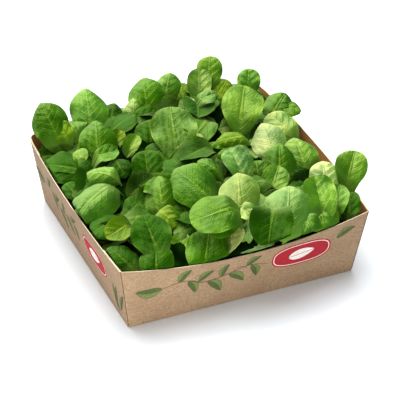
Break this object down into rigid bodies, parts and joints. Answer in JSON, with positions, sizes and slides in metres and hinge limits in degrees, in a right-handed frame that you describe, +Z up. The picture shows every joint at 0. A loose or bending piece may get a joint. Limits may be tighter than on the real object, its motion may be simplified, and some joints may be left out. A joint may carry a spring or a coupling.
{
  "type": "tray of salad leaves",
  "caption": "Open square card tray with sloping walls and dipping ends, heaped above its rim with loose spoon-shaped salad leaves.",
  "frame": {"origin": "centre of the tray's underside, on the surface that it stands on", "axes": "+Z up, front wall facing -Y, +X to the right as seen from the front"},
  "size_m": [0.1928, 0.1971, 0.0875],
  "materials": {
    "kraft_card": "matte uncoated kraft card",
    "leaf_green": "satin leaf surface"
  },
  "bodies": {
    "root": {"tray": "kraft_card", "salad_leaves": "leaf_green"}
  },
  "joints": []
}
